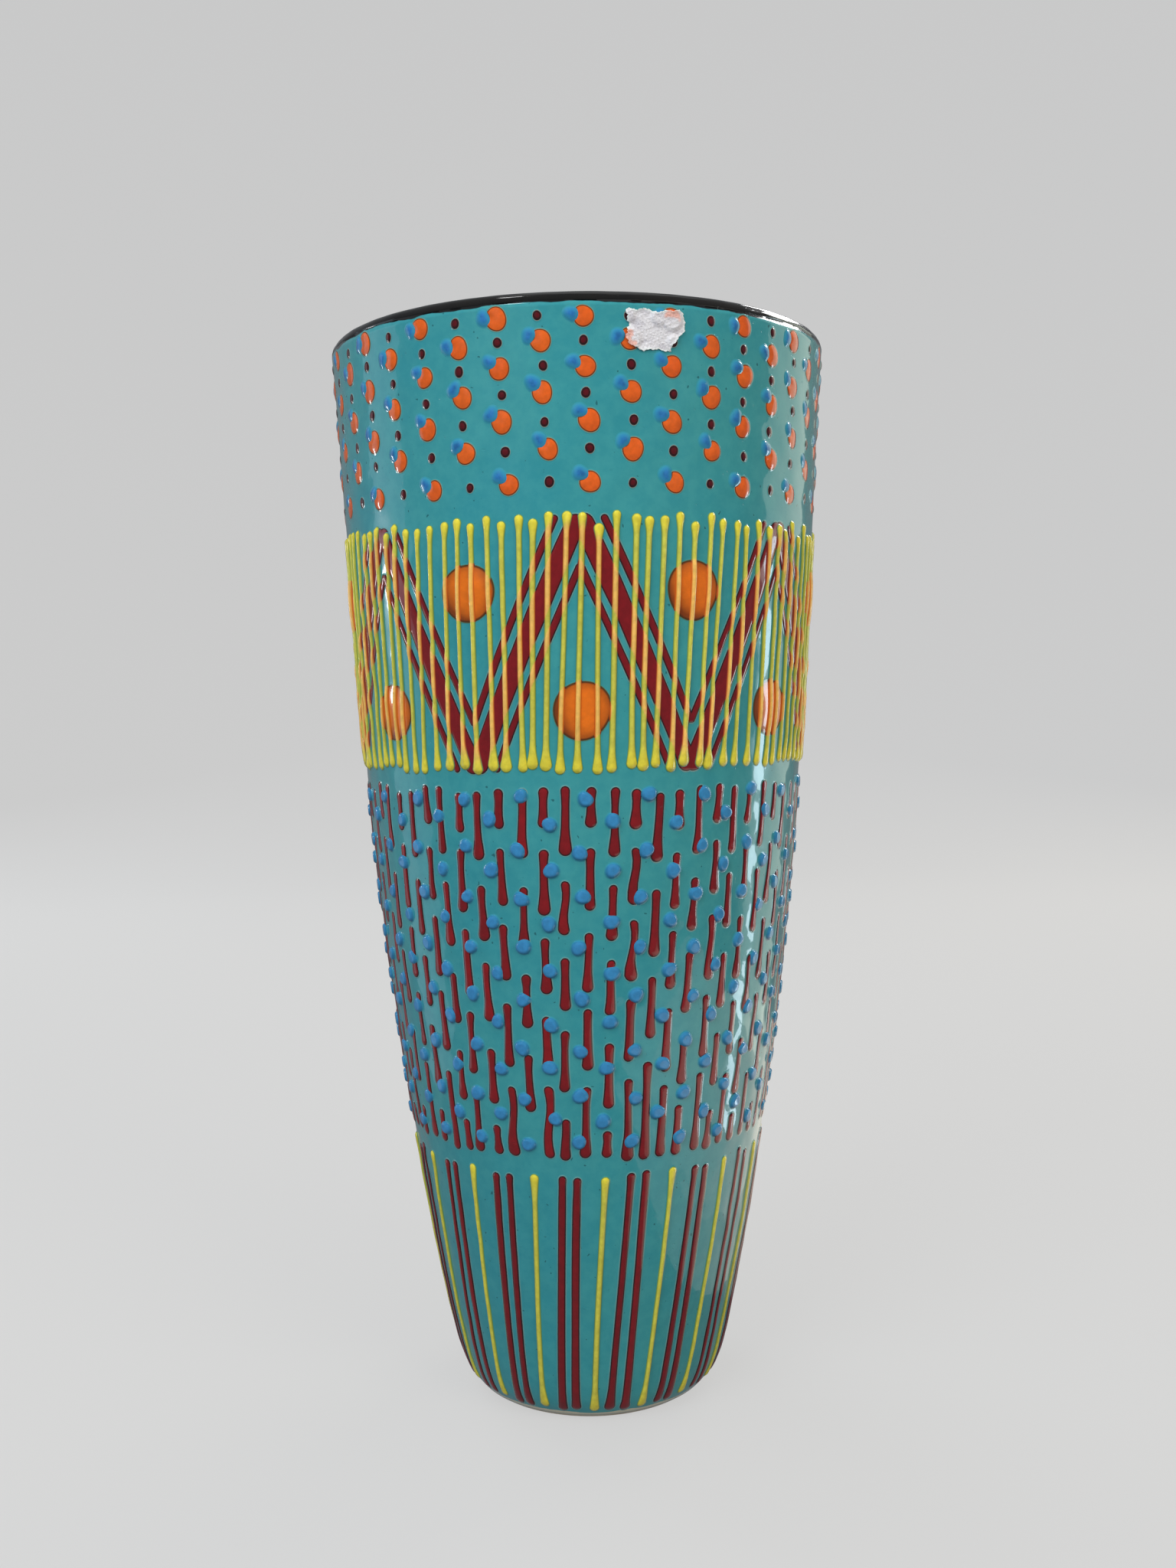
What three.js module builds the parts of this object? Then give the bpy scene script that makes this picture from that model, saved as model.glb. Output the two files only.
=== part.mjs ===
// A tall tapered pottery vase: a thrown clay body, a turquoise glaze coat outside, a black glaze
// lining inside, raised trailed decoration and a torn paper price label.
// Millimetres, +Z up. The foot stands on z = 0 and the axis of the vase is the Z axis.
// Angles round the vase start at the front (-Y) and grow towards +X.
import * as THREE from "three";

// Overall form, measured on the glazed outside
const TOTAL_HEIGHT = 380;
const RIM_RADIUS = 88.9;
const RIM_FLARE = 5; // how far the rim opens past the body's own curve
const FLARE_BEND = 5.6; // a higher power keeps the flare closer to the rim
const BASE_RADIUS = 47; // where the body's curve would meet the ground
const BODY_BEND = 2.25; // the power of the body's curve: 1 is a straight cone
const FOOT_RADIUS = 41.3;
const TUCK_HEIGHT = 5.7; // how quickly the foot tucks in under the base

// Clay
const LIP_WALL = 6.6;
const BASE_WALL = 8.5;
const FLOOR_TOP = 12;
const FLOOR_FILLET = 14;
const FOOT_RECESS = 3;
const FOOT_RING_WIDTH = 7;
const BARE_FOOT = 1.8; // unglazed clay above the ground

// Glaze and what lies on it
const GLAZE = 0.5; // from the clay to the glazed surface
const FUSED_GAP = 0.05; // keeps the fused layers from overlapping where their facets meet
const RELIEF_GAP = 0.3; // keeps raised pieces clear of the flat facets under them
const RELIEF_HEIGHT = 1;
const BLUNT_END = 0.3; // half the width of a pointed piece's cut-off tip

// Zigzag band, with its edges measured down from the top of the vase
const ZIGZAG_TOP_DROP = 68.6;
const ZIGZAG_BOTTOM_DROP = 149.6;
const ZIGZAG_PERIODS = 7;
const RIBBON_WIDTH = 6.9; // widths and gaps are measured level, round the vase
const STROKE_WIDTH = 2.5;
const STROKE_GAP = 2.4;
const DISC_RADIUS = 9.3;
const UPPER_DISC_DROP = 92;
const LOWER_DISC_DROP = 130;

// Yellow trails round the foot
const TRAILS = 17;
const TRAIL_TOP = 94;
const TRAIL_BOTTOM = 6.5;
const TRAIL_WIDTH = 1.6;
const TRAIL_KNOB_RADIUS = 1.2;
const TRAIL_BULB_RADIUS = 1.5;
const TRAIL_START_DEG = 4.1;
const TRAIL_LEAN_DEG = -4.3; // how far a trail drifts round on its way down

// Price label
const LABEL_WIDTH = 19.6;
const LABEL_HEIGHT = 12.9;
const LABEL_THICKNESS = 0.3;
const LABEL_TORN_CORNER = 5;
const LABEL_DROP = 12; // from the top of the vase to the middle of the label
const LABEL_DEG = 16.4;

// How finely the curves are cut into facets
const SEGMENTS = 48;
const WALL_STEPS = 9;
const BORE_STEPS = 7;
const LIP_STEPS = 4;
const FILLET_STEPS = 3;
const DISC_SEGMENTS = 16;
const DOME_STEPS = 3;
const STROKE_STEPS = 4;
const TRAIL_STEPS = 6;
const END_STEPS = 3;
const LABEL_STEPS = 3;
const FOOT_CROWDING = 1.8; // above 1, steps up the wall are shorter near the foot, where it bends

const GLAZE_TOP = TOTAL_HEIGHT - LIP_WALL / 2;
const BAND_TOP = TOTAL_HEIGHT - ZIGZAG_TOP_DROP;
const BAND_BOTTOM = TOTAL_HEIGHT - ZIGZAG_BOTTOM_DROP;
const PERIOD_ANGLE = (2 * Math.PI) / ZIGZAG_PERIODS;

// Radius of the glazed outside at a height
function wallRadius(height) {
  const share = THREE.MathUtils.clamp(height / TOTAL_HEIGHT, 0, 1);
  const bodyTop = RIM_RADIUS - RIM_FLARE;
  const body = bodyTop - (bodyTop - BASE_RADIUS) * (1 - share) ** BODY_BEND;
  const tuck = (BASE_RADIUS - FOOT_RADIUS) * Math.exp(-height / TUCK_HEIGHT);
  return body - tuck + RIM_FLARE * share ** FLARE_BEND;
}

// Radius of the glazed inside at a height
function boreRadius(height) {
  const wall = THREE.MathUtils.mapLinear(height, FLOOR_TOP, GLAZE_TOP, BASE_WALL, LIP_WALL);
  return wallRadius(height) - wall;
}

const BAND_RADIUS = wallRadius((BAND_TOP + BAND_BOTTOM) / 2);
const HALF_PERIOD = (BAND_RADIUS * PERIOD_ANGLE) / 2;
const ZIGZAG_SLOPE = (BAND_TOP - BAND_BOTTOM) / HALF_PERIOD;

// Evenly spaced numbers from a to b, both ends included
function spread(a, b, steps) {
  return Array.from({ length: steps + 1 }, (_, i) => THREE.MathUtils.lerp(a, b, i / steps));
}

// The outer wall, going up, sunk below the glazed outside
function outsideProfile(sunk) {
  return spread(0, 1, WALL_STEPS).map((share) => {
    const height = THREE.MathUtils.lerp(BARE_FOOT, GLAZE_TOP, share ** FOOT_CROWDING);
    return new THREE.Vector2(wallRadius(height) - sunk, height);
  });
}

// The half-round lip, from its outer edge over to its inner edge, both ends left out
function lipProfile(sunk) {
  const radius = LIP_WALL / 2;
  return spread(0, Math.PI, LIP_STEPS)
    .slice(1, -1)
    .map((turn) => new THREE.Vector2(
      wallRadius(GLAZE_TOP) - radius + (radius - sunk) * Math.cos(turn),
      GLAZE_TOP + (radius - sunk) * Math.sin(turn),
    ));
}

// The inner wall, going down, with the fillet and the floor to the axis
function insideProfile(sunk) {
  const filletTop = FLOOR_TOP + FLOOR_FILLET;
  const centre = boreRadius(filletTop) - FLOOR_FILLET;
  const wall = spread(GLAZE_TOP, filletTop, BORE_STEPS)
    .map((height) => new THREE.Vector2(boreRadius(height) + sunk, height));
  const fillet = spread(0, Math.PI / 2, FILLET_STEPS)
    .slice(1)
    .map((turn) => new THREE.Vector2(
      centre + (FLOOR_FILLET + sunk) * Math.cos(turn),
      filletTop - (FLOOR_FILLET + sunk) * Math.sin(turn),
    ));
  return [...wall, ...fillet, new THREE.Vector2(0, FLOOR_TOP - sunk)];
}

// A solid turned about the Z axis
function turned(profile) {
  return new THREE.LatheGeometry(profile, SEGMENTS).rotateX(Math.PI / 2);
}

function clayBody() {
  const footOuter = FOOT_RADIUS - GLAZE;
  const footInner = footOuter - FOOT_RING_WIDTH;
  const underside = [
    new THREE.Vector2(0, FOOT_RECESS),
    new THREE.Vector2(footInner - FOOT_RECESS, FOOT_RECESS),
    new THREE.Vector2(footInner, 0),
    new THREE.Vector2(footOuter, 0),
  ];
  return turned([
    ...underside,
    ...outsideProfile(GLAZE),
    ...lipProfile(GLAZE),
    ...insideProfile(GLAZE),
  ]);
}

function outerGlaze() {
  const outside = outsideProfile(0);
  const claySide = outsideProfile(GLAZE - FUSED_GAP).reverse();
  return turned([...outside, ...claySide, outside[0]]);
}

// The lining covers the floor, the inner wall and the lip, and meets the outer glaze at its top edge
function innerGlaze() {
  const layer = (sunk) => [outsideProfile(sunk).at(-1), ...lipProfile(sunk), ...insideProfile(sunk)];
  return turned([...layer(GLAZE - FUSED_GAP).reverse(), ...layer(0)]);
}

// Bends a flat piece round the wall. In the flat piece x runs round the vase, y is the height and
// z stands out from the wall. angleAt(x, height) gives the angle round the vase.
function wrapped(flat, angleAt) {
  const places = flat.attributes.position;
  for (let i = 0; i < places.count; i++) {
    const height = places.getY(i);
    const angle = angleAt(places.getX(i), height);
    const radius = wallRadius(height) + RELIEF_GAP + places.getZ(i);
    places.setXYZ(i, radius * Math.sin(angle), -radius * Math.cos(angle), height);
  }
  return flat;
}

// A flat closed strip between two edges, which are lists of points facing each other. The second
// edge lies to the left of the first as seen along it.
function strip(edge, farEdge, thickness) {
  const steps = edge.length - 1;
  const box = new THREE.BoxGeometry(1, 1, thickness, steps, 1, 1).translate(0.5, 0, thickness / 2);
  const places = box.attributes.position;
  for (let i = 0; i < places.count; i++) {
    const station = Math.round(places.getX(i) * steps);
    const place = (places.getY(i) < 0 ? edge : farEdge)[station];
    places.setXY(i, place.x, place.y);
  }
  return box;
}

// A V-shaped stroke of the zigzag, cut off at the band's edges. tip is the height of its centre
// line at the valley, width is measured level, and reach is how far it may go to each side.
function vStroke(tip, width, reach) {
  const half = (width * ZIGZAG_SLOPE) / 2;
  const edge = (x, side) =>
    THREE.MathUtils.clamp(tip + Math.abs(x) * ZIGZAG_SLOPE + side * half, BAND_BOTTOM, BAND_TOP);
  const meets = (height, side) => (height - tip - side * half) / ZIGZAG_SLOPE;
  const end = Math.min(reach, meets(BAND_TOP, -1) - BLUNT_END);
  const corners = [meets(BAND_TOP, 1), meets(BAND_BOTTOM, -1)].filter((x) => x > 0 && x < end);
  const stations = [...spread(0, end, STROKE_STEPS), ...corners].sort((a, b) => a - b);
  const across = [...stations.slice(1).map((x) => -x).reverse(), ...stations];
  const lower = across.map((x) => new THREE.Vector2(x, edge(x, -1)));
  const upper = across.map((x) => new THREE.Vector2(x, edge(x, 1)));
  return strip(lower, upper, RELIEF_HEIGHT);
}

// The same stroke turned upside down about the middle of the band
function turnedOver(stroke) {
  return stroke.rotateZ(Math.PI).translate(0, BAND_TOP + BAND_BOTTOM, 0);
}

// A low dome, drawn flat at a height
function disc(height) {
  const dome = spread(0, Math.PI / 2, DOME_STEPS).map(
    (turn) => new THREE.Vector2(DISC_RADIUS * Math.cos(turn), RELIEF_HEIGHT * Math.sin(turn)),
  );
  return new THREE.LatheGeometry([new THREE.Vector2(0, 0), ...dome], DISC_SEGMENTS)
    .rotateX(Math.PI / 2)
    .translate(0, height, 0);
}

// Points up one side of a round end, from its blunt tip to where the shaft leaves it. Direction
// is 1 for a top end and -1 for a bottom end.
function roundEnd(radius, centre, direction) {
  const tip = Math.asin(BLUNT_END / radius);
  const neck = Math.PI - Math.asin(TRAIL_WIDTH / 2 / radius);
  return spread(tip, neck, END_STEPS).map(
    (turn) => new THREE.Vector2(radius * Math.sin(turn), centre + direction * radius * Math.cos(turn)),
  );
}

// A drawn-out trail with a small knob at the top and a fatter bulb at the bottom
function trail() {
  const bulb = roundEnd(TRAIL_BULB_RADIUS, TRAIL_BOTTOM + TRAIL_BULB_RADIUS, -1);
  const knob = roundEnd(TRAIL_KNOB_RADIUS, TRAIL_TOP - TRAIL_KNOB_RADIUS, 1).reverse();
  const shaft = spread(0, 1, TRAIL_STEPS)
    .slice(1, -1)
    .map((share) => THREE.MathUtils.lerp(bulb.at(-1).y, knob[0].y, share ** FOOT_CROWDING))
    .map((height) => new THREE.Vector2(TRAIL_WIDTH / 2, height));
  const right = [...bulb, ...shaft, ...knob];
  const left = right.map((point) => new THREE.Vector2(-point.x, point.y));
  return strip(right, left, RELIEF_HEIGHT);
}

function label() {
  const [halfWidth, halfHeight] = [LABEL_WIDTH / 2, LABEL_HEIGHT / 2];
  const across = spread(-halfWidth, halfWidth - LABEL_TORN_CORNER, LABEL_STEPS);
  const bottom = [...across.map((x) => new THREE.Vector2(x, -halfHeight)),
    new THREE.Vector2(halfWidth, LABEL_TORN_CORNER - halfHeight)];
  const top = bottom.map((point) => new THREE.Vector2(point.x, halfHeight));
  return strip(bottom, top, LABEL_THICKNESS).translate(0, TOTAL_HEIGHT - LABEL_DROP, 0);
}

const material = (color, roughness) =>
  new THREE.MeshStandardMaterial({ color, roughness, metalness: 0 });
const MATERIALS = {
  clay: material(0xd9c7a8, 0.85),
  turquoise: material(0x3e9da8, 0.12),
  black: material(0x15171a, 0.12),
  red: material(0x82161f, 0.2),
  orange: material(0xe8641e, 0.2),
  yellow: material(0xe5d845, 0.25),
  paper: material(0xe6e3e0, 0.85),
};

const vase = new THREE.Group();

function add(name, geometry, surface) {
  const mesh = new THREE.Mesh(geometry, surface);
  mesh.name = name;
  vase.add(mesh);
}

function addZigzagBand() {
  const strokeRise = (RIBBON_WIDTH / 2 + STROKE_GAP + STROKE_WIDTH / 2) * ZIGZAG_SLOPE;
  for (let i = 0; i < ZIGZAG_PERIODS; i++) {
    const peak = i * PERIOD_ANGLE;
    const valley = peak + PERIOD_ANGLE / 2;
    const from = (centre) => (x) => centre + x / BAND_RADIUS;
    const ribbon = vStroke(BAND_BOTTOM, RIBBON_WIDTH, HALF_PERIOD - RELIEF_GAP / 2);
    const inner = () => vStroke(BAND_BOTTOM + strokeRise, STROKE_WIDTH, HALF_PERIOD);
    const upperDisc = disc(TOTAL_HEIGHT - UPPER_DISC_DROP);
    const lowerDisc = disc(TOTAL_HEIGHT - LOWER_DISC_DROP);
    add(`zigzag_ribbon_${i + 1}`, wrapped(ribbon, from(valley)), MATERIALS.red);
    add(`valley_stroke_${i + 1}`, wrapped(inner(), from(valley)), MATERIALS.red);
    add(`peak_stroke_${i + 1}`, wrapped(turnedOver(inner()), from(peak)), MATERIALS.red);
    add(`upper_disc_${i + 1}`, wrapped(upperDisc, from(valley)), MATERIALS.orange);
    add(`lower_disc_${i + 1}`, wrapped(lowerDisc, from(peak)), MATERIALS.orange);
  }
}

function addFootTrails() {
  const start = THREE.MathUtils.degToRad(TRAIL_START_DEG);
  const lean = THREE.MathUtils.degToRad(TRAIL_LEAN_DEG);
  for (let i = 0; i < TRAILS; i++) {
    const top = start + (i * 2 * Math.PI) / TRAILS;
    const drift = (height) => (lean * (TRAIL_TOP - height)) / (TRAIL_TOP - TRAIL_BOTTOM);
    const angleAt = (x, height) => top + drift(height) + x / wallRadius(height);
    add(`foot_trail_${String(i + 1).padStart(2, "0")}`, wrapped(trail(), angleAt), MATERIALS.yellow);
  }
}

function addLabel() {
  const centre = THREE.MathUtils.degToRad(LABEL_DEG);
  add("price_label", wrapped(label(), (x, height) => centre + x / wallRadius(height)), MATERIALS.paper);
}

add("clay_body", clayBody(), MATERIALS.clay);
add("outer_glaze", outerGlaze(), MATERIALS.turquoise);
add("inner_glaze", innerGlaze(), MATERIALS.black);
addZigzagBand();
addFootTrails();
addLabel();

export default vase;
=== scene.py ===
"""The looks of the pottery vase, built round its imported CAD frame.

Design functions work in millimetres, with angles round the vase in radians from the front (-Y)
towards +X. Meshes are written in metres.
"""
import math

import bpy
import numpy as np
from mathutils import Matrix, Vector


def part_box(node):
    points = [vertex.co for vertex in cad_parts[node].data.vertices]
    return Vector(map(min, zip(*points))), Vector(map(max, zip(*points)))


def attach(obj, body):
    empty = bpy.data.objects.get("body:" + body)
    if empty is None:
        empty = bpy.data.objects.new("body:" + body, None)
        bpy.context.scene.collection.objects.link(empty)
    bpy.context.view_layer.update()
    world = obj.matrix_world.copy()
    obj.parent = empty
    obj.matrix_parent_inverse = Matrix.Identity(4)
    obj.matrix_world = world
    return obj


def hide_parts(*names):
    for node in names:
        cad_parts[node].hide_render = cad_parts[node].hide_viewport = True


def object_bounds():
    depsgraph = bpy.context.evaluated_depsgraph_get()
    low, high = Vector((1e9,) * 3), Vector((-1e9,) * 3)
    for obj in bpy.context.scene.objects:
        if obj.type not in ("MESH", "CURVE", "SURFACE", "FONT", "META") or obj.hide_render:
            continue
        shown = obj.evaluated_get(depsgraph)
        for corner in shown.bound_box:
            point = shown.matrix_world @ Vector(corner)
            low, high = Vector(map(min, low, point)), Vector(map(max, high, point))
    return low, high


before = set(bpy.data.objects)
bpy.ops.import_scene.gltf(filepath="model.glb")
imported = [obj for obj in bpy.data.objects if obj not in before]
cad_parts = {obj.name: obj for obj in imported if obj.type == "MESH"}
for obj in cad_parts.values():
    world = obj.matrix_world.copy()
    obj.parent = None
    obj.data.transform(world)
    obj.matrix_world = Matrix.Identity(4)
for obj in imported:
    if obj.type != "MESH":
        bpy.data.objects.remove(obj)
cad_low, cad_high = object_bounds()

MM = 0.001
SEED = 20
hand = np.random.default_rng(SEED)  # every small irregularity of the hand-made decoration
vary = hand.uniform


# -------- sizes from the frame

def cad_span(node, axis=2):
    """Lowest and highest place of a CAD node along an axis, in millimetres."""
    low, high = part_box(node)
    return low[axis] / MM, high[axis] / MM


def cad_angle(node):
    """The angle round the vase of the middle of a CAD node's box."""
    low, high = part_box(node)
    middle = (low + high) / 2
    return math.atan2(middle.x, -middle.y)


HEIGHT = (cad_high.z - cad_low.z) / MM
GLAZE_LOW, GLAZE_TOP = cad_span("outer_glaze")
FLOOR_UNDER, LIP_TOP = cad_span("inner_glaze")
BAND_BOTTOM, BAND_TOP = cad_span("zigzag_ribbon_1")
FOOT_TRAIL_TOP = cad_span("foot_trail_01")[1]
PERIODS = sum(name.startswith("zigzag_ribbon_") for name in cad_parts)
FOOT_TRAILS = sum(name.startswith("foot_trail_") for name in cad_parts)

# The wall's curve, as the CAD model has it
RIM_RADIUS = 88.9
RIM_FLARE = 5.0
FLARE_BEND = 5.6
BASE_RADIUS = 47.0
BODY_BEND = 2.25
FOOT_RADIUS = 41.3
TUCK_HEIGHT = 5.7
LIP_WALL = 2 * (LIP_TOP - GLAZE_TOP)
BASE_WALL = 8.5
GLAZE = 0.5
FLOOR_TOP = FLOOR_UNDER + GLAZE
FLOOR_FILLET = 14.0
FOOT_RECESS = 3.0
FOOT_RING_WIDTH = 7.0


def wall(height):
    """Radius of the glazed outside at a height."""
    share = np.clip(np.asarray(height, float) / HEIGHT, 0, 1)
    body_top = RIM_RADIUS - RIM_FLARE
    body = body_top - (body_top - BASE_RADIUS) * (1 - share) ** BODY_BEND
    tuck = (BASE_RADIUS - FOOT_RADIUS) * np.exp(-np.asarray(height, float) / TUCK_HEIGHT)
    return body - tuck + RIM_FLARE * share**FLARE_BEND


def bore(height):
    """Radius of the glazed inside at a height."""
    share = (np.asarray(height, float) - FLOOR_TOP) / (GLAZE_TOP - FLOOR_TOP)
    return wall(height) - (BASE_WALL + (LIP_WALL - BASE_WALL) * share)


def smooth(low, high, value):
    """0 below low, 1 above high, and a smooth step between them."""
    share = np.clip((np.asarray(value, float) - low) / (high - low), 0, 1)
    return share * share * (3 - 2 * share)


# -------- uneven hand-thrown surface

SWELLS = 10  # waves that make the thrown clay broadly uneven
RIPPLES = 26  # shorter waves, for the glaze's own slight ripple
SWELL_SIZE = 0.05
RIPPLE_SIZE = 0.016


def make_waves(count, size, around, length):
    """Waves on the wall: size, waves round it, radians per millimetre up, and phase."""
    return [
        (
            size * vary(0.5, 1),
            int(hand.integers(around[0], around[1])) * (1 if hand.random() < 0.5 else -1),
            2 * math.pi / vary(*length),
            vary(0, 2 * math.pi),
        )
        for _ in range(count)
    ]


WAVES = make_waves(SWELLS, SWELL_SIZE, (0, 7), (50, 160))
WAVES += make_waves(RIPPLES, RIPPLE_SIZE, (6, 44), (12, 36))


def ripple(angle, height):
    """How far the glazed surface stands off its true curve. It fades out at the rim and the foot."""
    total = sum(size * np.sin(n * angle + up * height + phase) for size, n, up, phase in WAVES)
    return total * smooth(0, 14, height) * smooth(0, 8, GLAZE_TOP - height)


def on_wall(angle, height, out):
    """Points in metres that stand out from the glazed wall."""
    angle, height, out = np.broadcast_arrays(angle, height, out)
    radius = wall(height) + ripple(angle, height) + out
    return np.stack([radius * np.sin(angle), -radius * np.cos(angle), height], axis=-1) * MM


# -------- gathering meshes

OUTSIDE = -9.0  # inset of a surface that no mark lies on


class Sheet:
    """Gathers patches of points and faces, with values on the points, into one mesh piece."""

    def __init__(self, name):
        self.name = name
        self.points = []
        self.faces = []
        self.values = []
        self.count = 0

    def add(self, points, faces, inset=0.0, under=0.0, tone=0.0):
        """Adds a patch. inset, under and tone are each one number, or one for every point."""
        points = np.asarray(points, float).reshape(-1, 3)
        added = (len(points),)
        self.points.append(points)
        self.faces += [[self.count + i for i in face] for face in faces]
        columns = [np.asarray(value, float).reshape(-1) for value in (inset, under, tone)]
        self.values.append(np.stack([np.broadcast_to(column, added) for column in columns], axis=-1))
        self.count += len(points)

    def build(self, material, slot, replaces=()):
        """Makes the object, puts it on the body it rides on, and hides the CAD nodes it replaces. slot is
        not used.
        """
        mesh = bpy.data.meshes.new(self.name)
        mesh.from_pydata(np.concatenate(self.points).tolist(), [], self.faces)
        values = np.concatenate(self.values)
        for column, label in enumerate(("inset", "under", "tone")):
            layer = mesh.attributes.new(label, "FLOAT", "POINT")
            layer.data.foreach_set("value", values[:, column].astype(np.float32))
        mesh.shade_smooth()
        mesh.materials.append(material)
        piece = bpy.data.objects.new(self.name, mesh)
        bpy.context.scene.collection.objects.link(piece)
        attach(piece, "root")
        if replaces:
            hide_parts(*replaces)


def grid_faces(rows, columns, closed=False):
    """Faces of a grid of points that are listed row by row. closed joins each row's end to its start."""
    faces = []
    for row in range(rows - 1):
        for column in range(columns if closed else columns - 1):
            after = (column + 1) % columns
            low, high = row * columns, (row + 1) * columns
            faces.append((low + column, low + after, high + after, high + column))
    return faces


def paired(radius, height):
    """A profile's points, from their radii and heights."""
    return np.stack([radius, height], axis=-1)


def turned(name, profile, segments, material, slot, replaces, uneven=None):
    """A closed shape turned about the vase's axis. profile holds (radius, height), and it either has
    both ends on the axis or closes on itself. uneven(angle, height) is added to the radius."""
    profile = np.asarray(profile, float)
    on_axis = profile[0][0] == 0
    rings = profile[1:-1] if on_axis else profile
    angle = np.broadcast_to(np.arange(segments) * 2 * math.pi / segments, (len(rings), segments))
    height = np.broadcast_to(rings[:, 1:2], angle.shape)
    radius = rings[:, :1] + (uneven(angle, height) if uneven else 0)
    points = np.stack([radius * np.sin(angle), -radius * np.cos(angle), height], axis=-1) * MM
    points = points.reshape(-1, 3)
    faces = grid_faces(len(rings), segments, closed=True)
    last = (len(rings) - 1) * segments
    first_pole, last_pole = len(points), len(points) + 1
    for i in range(segments):
        after = (i + 1) % segments
        if on_axis:
            faces.append((first_pole, after, i))
            faces.append((last_pole, last + i, last + after))
        else:
            faces.append((last + i, last + after, after, i))
    if on_axis:
        poles = np.array([[0, 0, profile[0][1]], [0, 0, profile[-1][1]]]) * MM
        points = np.concatenate([points, poles])
    sheet = Sheet(name)
    sheet.add(points, faces, inset=OUTSIDE)
    sheet.build(material, slot, replaces)


# -------- raised decoration

HALO = 0.75  # how far the glaze round a raised mark is tinted
HALO_SOFT = 0.25  # depth over which the tint comes in
FILLET = 0.16  # how far a mark's foot spreads into the glaze
LIFT = 0.03  # keeps a mark's skirt just over the glaze
SINK = 0.08  # and its outer edge just under it
SKIRT_FLAT = 0.7  # share of the halo over which the skirt is fully lifted
DOME_POWER = 0.8  # under 1, so that a mark's shoulders are full
ROUND_ALL_OVER = 9.0  # a crown deeper than any mark, whose dome then peaks at its middle line
OUTLINE_STEP = 0.9  # between the heights where a bead's outline is rounded
OUTLINE_PASSES = 3
END_START = 0.2  # radians round a bead's end at which its outermost row of points lies
END_ROWS = 7
PROBES = 160  # places tried for the edge of a bead at each row
BOTTOM_TINT = 11.0  # how far the tone of a bead's ends reaches up from its lower end
TOP_TINT = 8.0  # and down from its upper end
END_COVER = 0.7  # how much of what lies below is hidden there, where the paint is thick
ACROSS = np.array([-1, -0.9, -0.78, -0.66, -0.54, -0.4, -0.2, 0, 0.2, 0.4, 0.54, 0.66, 0.78, 0.9, 1])
FEW_ACROSS = np.array([-1, -0.82, -0.66, -0.5, -0.25, 0, 0.25, 0.5, 0.66, 0.82, 1])
RING_SHARES = (0.25, 0.5, 0.7, 0.85, 0.95)  # of a dot's radius
SKIRT_SHARES = (0.1, 0.3, 0.6, 1)  # of the halo round it


def dome(depth, crown, rise):
    """Height of a raised mark at a depth inside its outline. It is full height from crown inwards."""
    share = np.clip((depth + FILLET) / (crown + FILLET), 0, 1)
    return rise * (1 - (1 - share) ** 2) ** DOME_POWER


def standing(depth, crown, rise, halo=HALO):
    """A raised mark's height with its skirt, which lies just over the glaze and ends just under it."""
    return dome(depth, crown, rise) - SINK + (SINK + LIFT) * smooth(-halo, -SKIRT_FLAT * halo, depth)


def rounded(ys, halves):
    """The same half widths at closer heights, with the corners between them taken off."""
    fine = np.linspace(ys[0], ys[-1], max(9, int((ys[-1] - ys[0]) / OUTLINE_STEP)))
    widths = np.interp(fine, ys, halves)
    for _ in range(OUTLINE_PASSES):
        widths[1:-1] = (widths[:-2] + 2 * widths[1:-1] + widths[2:]) / 4
    return fine, widths


def bead_depth(x, y, ys, halves):
    """Depth inside a bead drawn along x = 0 through the heights ys with those half widths."""
    depth = np.full(np.broadcast(x, y).shape, -np.inf)
    for i in range(len(ys) - 1):
        share = np.clip((y - ys[i]) / (ys[i + 1] - ys[i]), 0, 1)
        half = halves[i] + (halves[i + 1] - halves[i]) * share
        middle = ys[i] + (ys[i + 1] - ys[i]) * share
        depth = np.maximum(depth, half - np.hypot(x, y - middle))
    return depth


def bead_rows(ys, halves, step, halo):
    """Heights of the rows of points of a bead, close together round its two ends."""
    turn = np.linspace(END_START, math.pi / 2, END_ROWS)
    low_end = ys[0] - (halves[0] + halo) * np.cos(turn)
    high_end = ys[-1] + (halves[-1] + halo) * np.cos(turn[::-1])
    shaft = np.linspace(ys[0], ys[-1], max(3, int(round((ys[-1] - ys[0]) / step)) + 1))
    return np.concatenate([low_end[:-1], shaft, high_end[1:]])


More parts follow.
